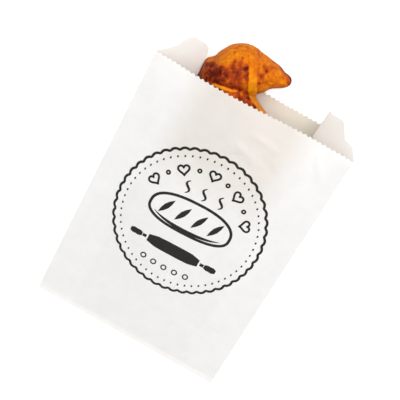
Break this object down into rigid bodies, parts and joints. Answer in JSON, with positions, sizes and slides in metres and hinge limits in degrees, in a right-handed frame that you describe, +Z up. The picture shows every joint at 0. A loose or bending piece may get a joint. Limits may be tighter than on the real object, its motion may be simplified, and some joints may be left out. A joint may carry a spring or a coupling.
{
  "type": "croissant bag",
  "caption": "Pinch-bottom paper bakery bag lying on its back, mouth open, with a croissant partly out of it.",
  "frame": {"origin": "on the underside of the back wall, at the middle of its width and halfway up the bag", "axes": "+Z up out of the front wall, +Y from the folded bottom to the mouth, +X to the right seen from above"},
  "size_m": [0.14, 0.2288, 0.0344],
  "materials": {
    "paper": "matt bleached kraft, softly creased",
    "crust": "egg-washed baked pastry, satin",
    "ink": "one-colour flexographic print, matt"
  },
  "bodies": {
    "root": {"bag": "paper", "croissant": "crust"}
  },
  "joints": []
}
